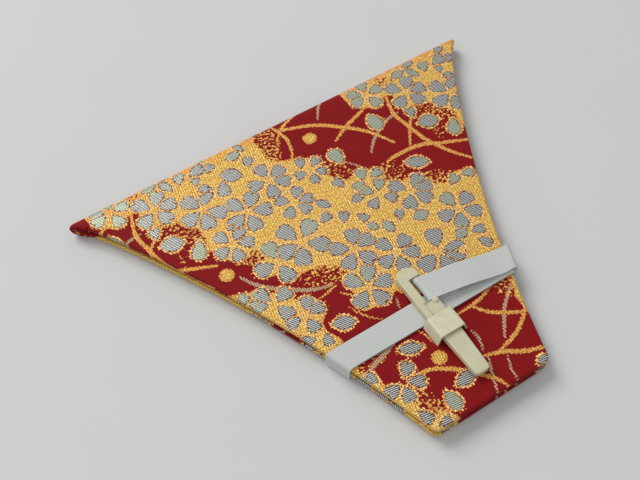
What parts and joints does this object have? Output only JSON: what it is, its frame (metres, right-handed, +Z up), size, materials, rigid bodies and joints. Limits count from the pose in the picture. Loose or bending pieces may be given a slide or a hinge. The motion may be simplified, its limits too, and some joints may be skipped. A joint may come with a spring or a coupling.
{
  "type": "shamisen plectrum sheath",
  "caption": "Fan-shaped folding sheath for a shamisen plectrum: two brocade-covered boards on a cloth spine, held shut by an elastic band with a peg clasp.",
  "frame": {"origin": "centre of the footprint, on the surface the sheath lies on", "axes": "+X along the spine, +Y from the open narrow end to the spine, +Z up out of the front cover"},
  "size_m": [0.12, 0.0954, 0.0087],
  "materials": {
    "brocade": "woven brocade with metallic gold and silver motifs",
    "lining": "plain woven, satin",
    "card": "matt",
    "elastic": "ribbed flat elastic",
    "strap": "smooth satin",
    "peg": "moulded, soft gloss",
    "thread": "twisted thread"
  },
  "bodies": {
    "back_cover": {"back_board": "card", "back_brocade": "brocade", "back_lining": "lining", "spine_brocade": "brocade", "spine_lining": "lining", "band_fixed_end": "elastic", "band_anchor_stitches": "thread", "band_inner_turn": "elastic", "band_left_turn": "elastic", "band_back_strip": "elastic", "band_outer_turn": "elastic"},
    "front_cover": {"front_board": "card", "front_brocade": "brocade", "front_lining": "lining", "band_front_strip": "elastic", "clasp_strap": "strap"},
    "peg": {"clasp_peg": "peg", "band_peg_loop": "elastic", "band_loop_stitches": "thread", "band_peg_strip": "elastic"}
  },
  "joints": [
    {"name": "cover_hinge", "type": "hinge", "parent": "back_cover", "child": "front_cover", "pos_m": [0, 0.0449, 0.00291], "axis": [-1, 0, 0], "range_deg": [0, 12], "stiffness_Nm_per_rad": 0.02, "springref_deg": -2.86, "deforming": ["spine_brocade", "spine_lining", "band_inner_turn", "band_left_turn", "band_outer_turn"]},
    {"name": "peg_slide", "type": "slide", "parent": "front_cover", "child": "peg", "axis": [0, 1, 0], "range_m": [0, 0.0175], "deforming": ["band_peg_strip"]}
  ]
}
